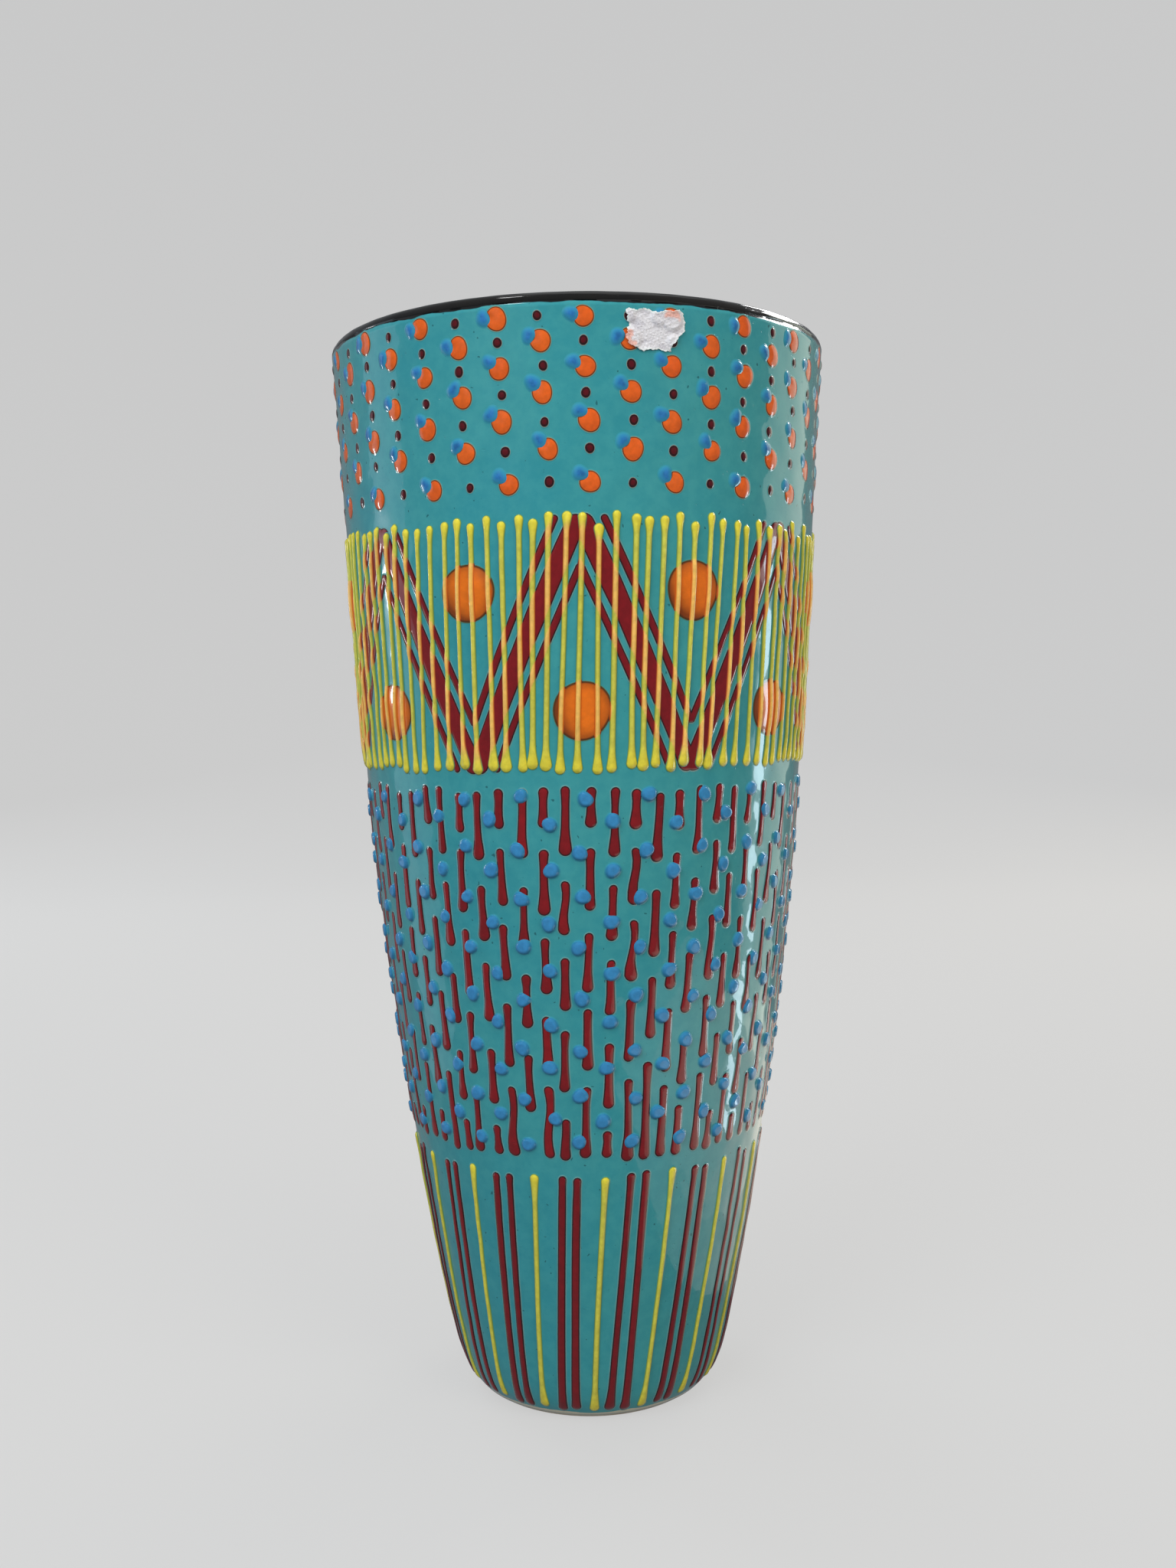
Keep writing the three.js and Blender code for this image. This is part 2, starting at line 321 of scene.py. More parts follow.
def bead(sheet, place, ys, halves, rise, step, base=None, tone=0.0, crown=ROUND_ALL_OVER, halo=HALO,
         across=ACROSS):
    """A raised bead. place(x, y) gives the angle and height of a point of its flat drawing, and
    base(angle, height) gives the height and tint of what the bead lies on. step is between its rows
    of points, and tone is one number or two: the middle's and the ends'."""
    ys, halves = rounded(ys, halves)
    rows = bead_rows(ys, halves, step, halo)
    probe = np.linspace(0, halves.max() + halo, PROBES)
    inside = bead_depth(probe[None, :], rows[:, None], ys, halves) > -halo
    reach = probe[inside.shape[1] - 1 - np.argmax(inside[:, ::-1], axis=1)]
    x = reach[:, None] * across[None, :]
    y = np.broadcast_to(rows[:, None], x.shape)
    depth = bead_depth(x, y, ys, halves)
    angle, height = place(x, y)
    lift, under = base(angle, height) if base else (0.0, 0.0)
    half = np.minimum(np.interp(y, ys, halves), crown)
    points = on_wall(angle, height, standing(depth, half, rise, halo) + lift)
    count, columns = x.shape
    faces = grid_faces(count, columns)
    left = range(0, count * columns, columns)
    right = range(columns - 1, count * columns, columns)
    faces += [tuple(range(columns))[::-1], tuple(range(left[-1], right[-1] + 1))]
    faces += [(left[i], left[i + 1], right[i + 1], right[i]) for i in range(count - 1)]
    middle, ends = tone if isinstance(tone, tuple) else (tone, tone)
    near_end = smooth(BOTTOM_TINT, 2, y - rows[0]) + smooth(TOP_TINT, 2, rows[-1] - y)
    shade = np.clip(middle + (ends - middle) * near_end, 0, 1)
    under = np.broadcast_to(under, shade.shape) * (1 - END_COVER * near_end * (middle != ends))
    sheet.add(points, faces, inset=depth, under=under, tone=shade)


def upright(centre, lean):
    """Places a bead's drawing upright on the wall. lean(height) is how far round it has drifted."""
    def place(x, y):
        return centre + lean(y) + x / wall(y), y

    return place


def dot(sheet, centre, height, radius, rise, uneven, tone=0.0, bite=None, segments=22, tall=1.0,
        painted_shade_to=None, crown=ROUND_ALL_OVER):
    """A raised dot, slightly out of round. bite is (x, y, radius) of a dot that cuts into it, and
    painted_shade_to is the direction that painted shade darkens its colour towards."""
    turn = np.arange(segments) * 2 * math.pi / segments
    phases = vary(0, 2 * math.pi, 2)
    wobble = uneven * np.sin(2 * turn + phases[0]) + 0.6 * uneven * np.sin(3 * turn + phases[1])
    outline = radius * (1 + wobble)
    rings = [outline * share for share in RING_SHARES]
    rings += [outline + HALO * share for share in SKIRT_SHARES]
    reach = np.stack(rings)
    x = np.concatenate([[0.0], (reach * np.sin(turn)).ravel()])
    y = np.concatenate([[0.0], (reach * np.cos(turn)).ravel()]) * tall
    depth = np.concatenate([[radius], (outline[None, :] - reach).ravel()])
    if bite:
        depth = np.minimum(depth, np.hypot(x - bite[0], y - bite[1]) - bite[2])
    # Painted shade: the colour darkens towards one side and towards the rim, as on a lit dome.
    if painted_shade_to is not None:
        along = (x * math.sin(painted_shade_to) + y * math.cos(painted_shade_to)) / radius
        outward = np.hypot(x, y) / radius
        tone = np.clip(tone + 0.75 * smooth(0.1, 1.1, along) + 0.7 * smooth(0.55, 1.05, outward), 0, 1)
    angle = centre + x / wall(height + y)
    points = on_wall(angle, height + y, standing(depth, min(radius, crown), rise))
    faces = [(0, 1 + (i + 1) % segments, 1 + i) for i in range(segments)]
    count = len(rings)
    faces += [tuple(1 + i for i in face) for face in grid_faces(count, segments, closed=True)]
    outer = 1 + (count - 1) * segments
    faces.append(tuple(range(outer, outer + segments)))
    sheet.add(points, faces, inset=depth, tone=tone)


# -------- materials

def linear(red, green, blue):
    """A colour given as 0 to 255 screen values, as Blender's linear values."""
    values = [channel / 255 for channel in (red, green, blue)]
    return [v / 12.92 if v <= 0.04045 else ((v + 0.055) / 1.055) ** 2.4 for v in values] + [1.0]


class Shading:
    """A new material, with the nodes that are added to it to feed its Principled shader."""

    def __init__(self, name):
        self.material = bpy.data.materials.new(name)
        self.material.use_nodes = True
        self.nodes = self.material.node_tree.nodes
        self.links = self.material.node_tree.links
        self.shader = self.nodes["Principled BSDF"]

    def set(self, **values):
        """Sets the shader's own numbers and colours. An underscore stands for a space."""
        for name, value in values.items():
            self.shader.inputs[name.replace("_", " ")].default_value = value

    def drive(self, socket, value):
        """Links the shader's socket to another node's output."""
        self.links.new(value, self.shader.inputs[socket])

    def place(self):
        """The place on the vase, in metres."""
        return self.nodes.new("ShaderNodeTexCoord").outputs["Object"]

    def noise(self, scale, detail, roughness=0.5, stretch=(1, 1, 1)):
        """Noise over the object's own coordinates. stretch multiplies them first."""
        mapping = self.nodes.new("ShaderNodeMapping")
        mapping.inputs["Scale"].default_value = stretch
        noise = self.nodes.new("ShaderNodeTexNoise")
        for name, value in (("Scale", scale), ("Detail", detail), ("Roughness", roughness)):
            noise.inputs[name].default_value = value
        self.links.new(self.place(), mapping.inputs["Vector"])
        self.links.new(mapping.outputs["Vector"], noise.inputs["Vector"])
        return noise.outputs["Fac"]

    def ramp(self, value, low, high, to_low=0.0, to_high=1.0):
        """A smooth step from to_low to to_high as the value goes from low to high."""
        node = self.nodes.new("ShaderNodeMapRange")
        node.interpolation_type = "SMOOTHSTEP"
        ends = {"From Min": low, "From Max": high, "To Min": to_low, "To Max": to_high}
        for name, end in ends.items():
            node.inputs[name].default_value = end
        self.links.new(value, node.inputs["Value"])
        return node.outputs["Result"]

    def mix(self, factor, first, second):
        """One colour turning into another. Each is screen values or a node's output."""
        node = self.nodes.new("ShaderNodeMix")
        node.data_type = "RGBA"
        for number, value in ((0, factor), (6, first), (7, second)):
            if isinstance(value, bpy.types.NodeSocket):
                self.links.new(value, node.inputs[number])
            else:
                node.inputs[number].default_value = linear(*value) if isinstance(value, tuple) else value
        return node.outputs[2]

    def attribute(self, name):
        """A value kept on the mesh's points."""
        node = self.nodes.new("ShaderNodeAttribute")
        node.attribute_name = name
        return node.outputs["Fac"]

    def bump(self, height, strength, distance, normal=None):
        """A normal for small relief, over another bump's normal where there is one."""
        node = self.nodes.new("ShaderNodeBump")
        node.inputs["Strength"].default_value = strength
        node.inputs["Distance"].default_value = distance
        self.links.new(height, node.inputs["Height"])
        if normal:
            self.links.new(normal, node.inputs["Normal"])
        return node.outputs["Normal"]

    def height(self):
        """The height up the vase, in metres."""
        split = self.nodes.new("ShaderNodeSeparateXYZ")
        self.links.new(self.place(), split.inputs["Vector"])
        return split.outputs["Z"]

    def wavering(self, value, scale, amount):
        """A value that wavers by up to about half the amount either way."""
        noise = self.ramp(self.noise(scale, 3), 0.2, 0.8, -amount / 2, amount / 2)
        total = self.nodes.new("ShaderNodeMath")
        total.operation = "ADD"
        self.links.new(value, total.inputs[0])
        self.links.new(noise, total.inputs[1])
        return total.outputs["Value"]

    def scaled(self, colour, factor):
        """A colour times a number."""
        node = self.nodes.new("ShaderNodeVectorMath")
        node.operation = "SCALE"
        self.links.new(colour, node.inputs[0])
        self.links.new(factor, node.inputs["Scale"])
        return node.outputs["Vector"]


def turquoise(m):
    """The ground colour: a turquoise that pools a little darker and greener in places."""
    broad = m.ramp(m.noise(16, 3), 0.35, 0.65)
    fine = m.ramp(m.noise(230, 4, 0.6), 0.3, 0.7)
    base = m.mix(broad, (50, 150, 162), (62, 157, 163))
    grain = m.mix(fine, (46, 144, 157), (74, 165, 170))
    mottled = m.mix(0.35, base, grain)
    specks = m.ramp(m.noise(760, 0), 0.82, 0.86)
    return m.mix(specks, mottled, (38, 110, 118))


def glaze_surface(m, colour, ripple_depth, roughness=0.2):
    """A fired, clear-coated glaze: glossy, with a slight orange-peel ripple and rare pinholes."""
    m.drive("Base Color", colour)
    m.set(Roughness=roughness, IOR=1.5, Specular_IOR_Level=0.2)
    m.set(Coat_Weight=0.9, Coat_Roughness=0.03, Coat_IOR=1.5)
    peel = m.bump(m.noise(170, 2), 1.0, ripple_depth)
    pits = m.ramp(m.noise(900, 0), 0.13, 0.17)
    normal = m.bump(pits, 0.5, 0.15 * MM, peel)
    m.drive("Normal", normal)
    m.drive("Coat Normal", normal)


def ground_material():
    """The turquoise coat, with the black running a little over its top edge and its foot edge thin."""
    m = Shading("turquoise_glaze")
    edge = m.wavering(m.height(), 75, 1.1 * MM)
    top = m.ramp(edge, (GLAZE_TOP - 0.75) * MM, (GLAZE_TOP - 0.45) * MM)
    colour = m.mix(top, turquoise(m), (10, 11, 13))
    foot = m.ramp(edge, (GLAZE_LOW + 2.1) * MM, (GLAZE_LOW + 1.7) * MM)
    colour = m.mix(foot, colour, (226, 218, 190))
    glaze_surface(m, colour, 0.05 * MM)
    return m.material


def paint_material(name, core, rim, halo, tones, rim_at=(0.1, 0.45), edge_at=(-0.22, -0.02),
                   halo_from=-0.55, through=None, grain=0.16):
    """Raised paint, by depth inside the mark in millimetres: the ground, a tinted halo from halo_from
    inwards, an outline in the rim colour from edge_at, and the paint itself from rim_at. tones is the
    paint where the mark's tone is 1, and through is the paint over a warm colour."""
    m = Shading(name)
    depth = m.attribute("inset")
    ground = turquoise(m)
    body = m.mix(m.attribute("tone"), core, tones)
    if through:
        under = m.attribute("under")
        on_red = m.ramp(under, 0.2, 0.9)
        on_orange = m.ramp(under, 1.1, 1.9)
        body = m.mix(on_red, body, through)
        ground = m.mix(on_orange, m.mix(on_red, ground, (118, 18, 26)), (226, 96, 20))
        halo = m.mix(on_orange, m.mix(on_red, halo, (150, 46, 26)), (206, 92, 22))
        rim = m.mix(on_orange, m.mix(on_red, rim, (222, 128, 56)), (236, 140, 44))
    mottle = m.ramp(m.noise(420, 3, 0.6), 0.25, 0.75, 1 - grain, 1 + grain / 2)
    shaded = m.scaled(body, mottle)
    tinted = m.mix(m.ramp(depth, halo_from, halo_from + HALO_SOFT), ground, halo)
    edged = m.mix(m.ramp(depth, *edge_at), tinted, rim)
    painted = m.mix(m.ramp(depth, *rim_at), edged, shaded)
    glaze_surface(m, painted, 0.04 * MM)
    return m.material


def black_material():
    """Black glaze, darkest on the lip and broken with brown where it thins out down the inside."""
    m = Shading("black_glaze")
    pooled = m.ramp(m.noise(30, 4), 0.4, 0.7)
    lip = m.mix(pooled, (11, 12, 14), (27, 24, 22))
    inside = m.mix(pooled, (38, 40, 43), (66, 56, 48))
    down = m.ramp(m.height(), (GLAZE_TOP - 4) * MM, (GLAZE_TOP - 40) * MM)
    colour = m.mix(down, lip, inside)
    glaze_surface(m, colour, 0.09 * MM, roughness=0.14)
    return m.material


def clay_material():
    """Pale sandy clay, a little browner in places."""
    m = Shading("bare_clay")
    broad = m.ramp(m.noise(60, 4), 0.3, 0.7)
    fine = m.noise(1500, 4, 0.7)
    colour = m.mix(broad, (214, 196, 164), (190, 164, 128))
    sandy = m.mix(m.ramp(fine, 0.35, 0.7), colour, (226, 212, 186))
    m.drive("Base Color", sandy)
    m.set(Roughness=0.85)
    m.drive("Normal", m.bump(fine, 0.7, 0.2 * MM))
    return m.material


def paper_material():
    """Worn white paper, with painted shade that greys it along its creases. Its tone is 1 where the paint
    below shows pink through it.
    """
    m = Shading("label_paper")
    fibres = m.noise(1100, 5, 0.7, stretch=(0.4, 0.4, 1.5))
    creases = m.noise(330, 4, 0.6, stretch=(0.6, 0.6, 1.3))
    # Painted shade: the paper is greyer where the crease noise is low, the same places that the bump
    # sinks as creases.
    crease_shade = m.ramp(creases, 0.36, 0.56)
    colour = m.mix(crease_shade, (216, 213, 223), (236, 234, 241))
    torn = m.ramp(m.attribute("inset"), 0.9, 0.1)
    colour = m.mix(torn, colour, (240, 246, 247))
    blotch = m.ramp(m.attribute("tone"), 0.25, 0.9, 0.0, 0.75)
    colour = m.mix(blotch, colour, (246, 176, 156))
    m.drive("Base Color", colour)
    m.set(Roughness=0.75, Specular_IOR_Level=0.25)
    m.drive("Normal", m.bump(creases, 0.8, 0.5 * MM, m.bump(fibres, 0.8, 0.3 * MM)))
    return m.material


GROUND = ground_material()
BLACK = black_material()
CLAY = clay_material()
PAPER = paper_material()
RED = paint_material("red_enamel", (122, 16, 25), (40, 8, 15), (108, 158, 158), (146, 21, 28))
RED_DOT = paint_material(
    "red_dot_enamel", (92, 10, 22), (44, 8, 16), (146, 150, 138), (92, 10, 22),
    rim_at=(0.3, 0.7), edge_at=(-0.14, 0.0), halo_from=-0.34,
)
ORANGE = paint_material(
    "orange_enamel", (238, 104, 30), (104, 48, 18), (140, 150, 122), (230, 88, 22),
    rim_at=(0.12, 0.36), edge_at=(-0.14, 0.0), halo_from=-0.38,
)
# The discs' tones colour is the brown of their painted shade.
DISC_WITH_SHADE = paint_material(
    "orange_disc_enamel_with_shade", (242, 120, 20), (84, 50, 18), (90, 130, 100), (138, 62, 12),
    rim_at=(0.15, 0.8), halo_from=-0.45, grain=0.1,
)
BLUE = paint_material(
    "blue_enamel", (44, 122, 190), (50, 142, 186), (54, 152, 172), (48, 118, 190),
    rim_at=(0.4, 1.8), edge_at=(-0.35, 0.6), halo_from=-0.75, grain=0.3,
)
PEARL = paint_material(
    "blue_pearl_enamel", (58, 142, 200), (50, 132, 182), (54, 150, 172), (54, 132, 198),
    rim_at=(0.2, 1.1), edge_at=(-0.35, 0.2), halo_from=-0.7,
)
YELLOW = paint_material(
    "yellow_enamel", (214, 210, 86), (160, 172, 66), (82, 142, 104), (238, 222, 68),
    rim_at=(-0.06, 0.14), edge_at=(-0.2, -0.08), halo_from=-0.45, through=(255, 200, 104),
)


# -------- body, glazes and foot

GLAZE_ROWS = 260
UNDER_ROWS = 14
GLAZE_SEGMENTS = 320
ROW_CROWDING = 0.25  # how far the coat's rows of points crowd together towards the foot
LIP_ROWS = 19
BORE_ROWS = 90
FILLET_ROWS = 12
LINING_SEGMENTS = 288
THROWING_RING = 8.5  # between the rings that a potter's fingers leave inside
THROWING_DEPTH = 0.12
CLAY_SEGMENTS = 192
CLAY_FOOT_TOP = 12.0  # the clay's rows of points are closer together below this
CLAY_ROWS = 60
RING_EDGE = 0.7  # the foot ring's edges are rubbed round


def make_outer_glaze():
    """The turquoise coat, with its back on the clay."""
    share = np.linspace(0, 1, GLAZE_ROWS)
    crowded = ROW_CROWDING * share**2 + (1 - ROW_CROWDING) * share
    heights = GLAZE_LOW + (GLAZE_TOP - GLAZE_LOW) * crowded
    outside = paired(wall(heights), heights)
    under = np.linspace(GLAZE_TOP, GLAZE_LOW, UNDER_ROWS)
    clay_side = paired(wall(under) - GLAZE, under)
    profile = np.concatenate([outside, clay_side])
    outer = np.concatenate([np.ones(GLAZE_ROWS), np.zeros(UNDER_ROWS)])[:, None]
    turned(
        "turquoise_coat", profile, GLAZE_SEGMENTS, GROUND, "turquoise_glaze", ["outer_glaze"],
        uneven=lambda angle, height: ripple(angle, height) * outer,
    )


def inside_profile(sunk):
    """The lip, the inner wall, the fillet and the floor, sunk below the glazed surface."""
    radius = LIP_WALL / 2
    turn = np.linspace(0, math.pi, LIP_ROWS)
    lip_middle = wall(GLAZE_TOP) - radius
    radius -= sunk
    lip = paired(lip_middle + radius * np.cos(turn), GLAZE_TOP + radius * np.sin(turn))
    fillet_top = FLOOR_TOP + FLOOR_FILLET
    heights = np.linspace(GLAZE_TOP, fillet_top, BORE_ROWS)[1:]
    side = paired(bore(heights) + sunk, heights)
    turn = np.linspace(0, math.pi / 2, FILLET_ROWS)[1:]
    fillet = paired(
        bore(fillet_top) - FLOOR_FILLET + (FLOOR_FILLET + sunk) * np.cos(turn),
        fillet_top - (FLOOR_FILLET + sunk) * np.sin(turn),
    )
    return np.concatenate([lip, side, fillet, [[0, FLOOR_TOP - sunk]]])


def make_inner_glaze():
    """The black lining, with faint throwing rings down the wall and small bumps along the lip."""
    under, face = inside_profile(GLAZE)[::-1], inside_profile(0)
    profile = np.concatenate([under, face])
    shown = np.concatenate([np.zeros(len(under)), np.ones(len(face))])[1:-1, None]

    def uneven(angle, height):
        rings = THROWING_DEPTH * np.sin(2 * math.pi * height / THROWING_RING + angle)
        rings *= smooth(FLOOR_TOP + 3, FLOOR_TOP + 25, height) * smooth(0, 20, GLAZE_TOP - height)
        bumps = 0.05 * np.sin(23 * angle + 1) + 0.04 * np.sin(41 * angle)
        bumps += 0.03 * np.sin(67 * angle + height)
        return shown * (rings + smooth(-1, 1, height - GLAZE_TOP) * bumps)

    turned("black_lining", profile, LINING_SEGMENTS, BLACK, "black_glaze", ["inner_glaze"], uneven=uneven)


def make_clay_body():
    """The clay between the glazes, with its bare foot ring and the recess under it."""
    foot_outer = FOOT_RADIUS - GLAZE
    foot_inner = foot_outer - FOOT_RING_WIDTH
    underside = [
        (0, FOOT_RECESS), (foot_inner - FOOT_RECESS, FOOT_RECESS), (foot_inner - 0.6, RING_EDGE),
        (foot_inner, 0.15), (foot_inner + RING_EDGE, 0), (foot_outer - RING_EDGE, 0),
        (foot_outer - 0.15, 0.2),
    ]
    foot_heights = np.linspace(RING_EDGE, CLAY_FOOT_TOP, 12)
    heights = np.concatenate([foot_heights, np.linspace(CLAY_FOOT_TOP + 4, GLAZE_TOP, CLAY_ROWS)])
    outside = paired(wall(heights) - GLAZE, heights)
    profile = np.concatenate([underside, outside, inside_profile(GLAZE)[1:]])
    turned("clay_vase", profile, CLAY_SEGMENTS, CLAY, "clay", ["clay_body"])


# -------- the zigzag band

PERIOD = 2 * math.pi / PERIODS
BAND_MIDDLE = (BAND_TOP + BAND_BOTTOM) / 2
BAND_RADIUS = float(wall(BAND_MIDDLE))
SLOPE = (BAND_TOP - BAND_BOTTOM) / (BAND_RADIUS * PERIOD / 2)
LEG_TILT = math.atan(1 / SLOPE)  # from upright
RIBBON_HALF = 3.15  # half widths across a stroke
STROKE_HALF = 1.15
STROKE_STEP = 6.55  # between the middle lines of the ribbon and of a fine stroke beside it
RIBBON_RISE = 0.35
DISC_RISE = 0.6
LEG_PLACES = 400  # tried along a stroke for where it starts and ends
LEG_STOPS = 9  # where its half width is uneven
LEG_STEP = 4.0  # between its rows of points
DISC_RADIUS = (cad_span("lower_disc_1")[1] - cad_span("lower_disc_1")[0]) / 2
UPPER_DISC = sum(cad_span("upper_disc_1")) / 2
LOWER_DISC = sum(cad_span("lower_disc_1")) / 2
TRAIL_PITCH = math.radians(3.6)
TRAIL_START = math.radians(1.1)
TRAIL_RISE = 0.95
TRAIL_STEP = 1.2
TRAIL_HALO = 0.5


def zigzag_offset(angle, height):
    """Distance above the ribbon's middle line, measured square to the stroke."""
    turn = np.abs((angle / PERIOD + 0.5) % 1 - 0.5) * PERIOD * BAND_RADIUS
    return (height - (BAND_TOP - turn * SLOPE)) * math.sin(LEG_TILT)


def zigzag_depth(angle, height):
    """Depth inside the ribbon and the fine strokes of the zigzag."""
    off = np.abs(zigzag_offset(angle, height))
    strokes = np.maximum(RIBBON_HALF - off, STROKE_HALF - np.abs(off - STROKE_STEP))
    return np.minimum(strokes, np.minimum(BAND_TOP - height, height - BAND_BOTTOM))


def disc_depth(angle, height):
    """Depth inside the nearest orange disc."""
    def near(shift, level):
        turn = ((angle / PERIOD + shift + 0.5) % 1 - 0.5) * PERIOD
        return DISC_RADIUS - np.hypot(turn * wall(level), height - level)

    return np.maximum(near(0.5, UPPER_DISC), near(0, LOWER_DISC))


def under_trail(angle, height):
    """What a yellow trail lies on: its height, and 1 over red or 2 over orange."""
    ribbon, disc = zigzag_depth(angle, height), disc_depth(angle, height)
    red, orange = dome(ribbon, STROKE_HALF, RIBBON_RISE), dome(disc, DISC_RADIUS, DISC_RISE)
    lift = np.maximum(red, orange) + LIFT * smooth(-0.8, -0.4, np.maximum(ribbon, disc))
    return lift, np.maximum(smooth(-0.3, 0.3, ribbon), 2 * smooth(-0.4, 0.6, disc))


def leg(sheet, peak, side, offset, half):
    """One straight stroke of the zigzag. It leaves a peak towards one side, stands off the ribbon's
    middle line by offset, and ends at the band's edge or where it meets its mirror image."""
    across, along = math.cos(LEG_TILT), math.sin(LEG_TILT)
    run = BAND_RADIUS * PERIOD / 2

    def flat(x, y):
        x = x + side * offset
        return x * across - side * y * along, BAND_TOP + side * x * along + y * across

    def place(x, y):
        level, height = flat(x, y)
        return peak + level / BAND_RADIUS, height

    ys = np.linspace(-run / along, 0, LEG_PLACES)
    level, height = flat(0 * ys, ys)
    shown = (side * level > 0.15 * half) & (side * level < run - 0.15 * half)
    shown &= (height < BAND_TOP - half * 0.9) & (height > BAND_BOTTOM + half * 0.9)
    stops = np.linspace(ys[shown][0], ys[shown][-1], LEG_STOPS)
    halves = half * (1 + vary(-0.07, 0.07, LEG_STOPS))
    tone = vary(0, 0.4)
    bead(sheet, place, stops, halves, RIBBON_RISE, LEG_STEP, tone=tone, crown=STROKE_HALF)


def make_zigzag():
    """The wide red ribbon, with a fine stroke beside it on either side."""
    ribbons, fine = Sheet("zigzag_ribbons"), Sheet("zigzag_strokes")
    for i in range(PERIODS):
        for side in (-1, 1):
            leg(ribbons, i * PERIOD, side, 0, RIBBON_HALF)
            leg(fine, i * PERIOD, side, -STROKE_STEP, STROKE_HALF)
            leg(fine, i * PERIOD, side, STROKE_STEP, STROKE_HALF)
    numbers = range(1, PERIODS + 1)
    ribbons.build(RED, "red_relief", [f"zigzag_ribbon_{n}" for n in numbers])
    strokes = [f"{kind}_stroke_{n}" for n in numbers for kind in ("valley", "peak")]
    fine.build(RED, "red_relief", strokes)


def make_discs():
    """Orange discs in the zigzag's angles, each with painted shade that browns it towards its rim and its
    lower left.
    """
    discs = Sheet("orange_discs")
    nodes = [f"{kind}_disc_{i + 1}" for i in range(PERIODS) for kind in ("upper", "lower")]
    for node in nodes:
        height = sum(cad_span(node)) / 2
        # darker is the side that each disc's painted shade falls towards.
        darker = math.radians(235 + vary(-30, 30))
        dot(discs, cad_angle(node), height, DISC_RADIUS, DISC_RISE, 0.03, segments=48, painted_shade_to=darker)
    discs.build(DISC_WITH_SHADE, "orange_relief", nodes)


def make_yellow_trails():
    """Leaning yellow trails over the zigzag, each with a knob on top and a bulb at the bottom."""
    trails = Sheet("yellow_trails")
    count = round(2 * math.pi / TRAIL_PITCH)
    for i in range(count):
        centre = TRAIL_START + (i + vary(-0.14, 0.14)) * TRAIL_PITCH
        top = BAND_TOP + vary(-3.0, 1.6)
        bottom = BAND_BOTTOM + vary(-0.8, 1.2)
        drift = math.radians(-1.7 + 0.6 * math.sin(0.55 * i) + vary(-0.4, 0.4))
        bend = math.radians(vary(0.05, 0.3))
        phase = vary(0, 6.3)

        def lean(y, drift=drift, bend=bend, phase=phase):
            share = (BAND_TOP - y) / (BAND_TOP - BAND_BOTTOM)
            return drift * share + bend * np.sin(5 * share + phase) * share

        knob, shaft, bulb = vary(1.2, 1.5), vary(0.62, 0.8), vary(1.4, 1.85)
        ys = [bottom + bulb, bottom + 3.4, bottom + 7, bottom + 14, BAND_MIDDLE]
        ys += [top - 22, top - 5, top - 3, top - knob]
        halves = [bulb, bulb * 0.8, shaft * 1.12, shaft, shaft * 0.95]
        halves += [shaft, shaft * 1.04, knob * 0.82, knob]
        bead(
            trails, upright(centre, lean), ys, halves, TRAIL_RISE, TRAIL_STEP, base=under_trail,
            tone=(0.1, 1.0), halo=TRAIL_HALO, across=FEW_ACROSS,
        )
    trails.build(YELLOW, "yellow_relief")


# -------- the dotted band

DOT_COLUMNS = 40
DOT_ROW_DROPS = (8.0, 15.3, 23.0, 31.2, 39.7, 48.3, 58.6)  # from the top of the vase
DOT_RISE = 0.5
RED_DOT_RISE = 0.4
PEARL_OVERLAP = 0.7  # share of a pearl's radius that reaches into its orange dot
rim_marks = []  # angle, height and radius of each mark the label may lie over, and 1 if it is orange


def make_dots():
    """Rows of orange dots with a blue pearl on each one's left, and small red dots between them."""
    orange, red, pearls = Sheet("orange_dots"), Sheet("red_dots"), Sheet("rim_pearls")
    for column in range(DOT_COLUMNS):
        for row, drop in enumerate(DOT_ROW_DROPS):
            turn = 1.4 + 360 * column / DOT_COLUMNS + 0.22 * row
            centre = math.radians(turn + vary(-0.4, 0.4))
            height = HEIGHT - drop + vary(-0.4, 0.4)
            if (column + row) % 2:
                radius = vary(1.25, 1.5)
                rim_marks.append((centre, height, radius, 0.0))
                dot(red, centre, height, radius, RED_DOT_RISE, 0.03, segments=18, tall=1.12)
                continue
            radius = vary(3.1, 3.5)
            pearl = vary(2.15, 2.5)
            turn = math.radians(4 + 12 * min(row, 3) + vary(-9, 9))
            apart = radius + pearl * (1 - PEARL_OVERLAP)
            x, y = -apart * math.cos(turn), apart * math.sin(turn)
            rim_marks.append((centre, height, radius, 1.0))
            tone, bite = vary(0, 0.5), (x, y, pearl * 0.86)
            dot(orange, centre, height, radius, DOT_RISE, 0.035, tone, bite, segments=28, tall=1.07)
            pearl_centre = centre + x / float(wall(height))
            rim_marks.append((pearl_centre, height + y, pearl, 0.0))
            dot(pearls, pearl_centre, height + y, pearl, DOT_RISE + 0.1, 0.1)
    orange.build(ORANGE, "orange_relief")
    red.build(RED_DOT, "red_relief")
    pearls.build(BLUE, "blue_relief")


# -------- the dashed band

DASH_COLUMNS = 66
DASH_TOP = 224.5
DASH_BOTTOM = 100.0
SHORTEST_DASH = 8.0
DASH_KINDS = ((13.0, 21.0, 6.2), (22.5, 20.3, 8.0))  # a column's first dash, its others and its gaps
DASH_RISE = 0.5
LONG_STEP = 2.4  # between the rows of points of dashes and foot lines
BENT_SHARE = 0.08  # of the dashes, bent by this much in degrees
BENT_BY = 0.4


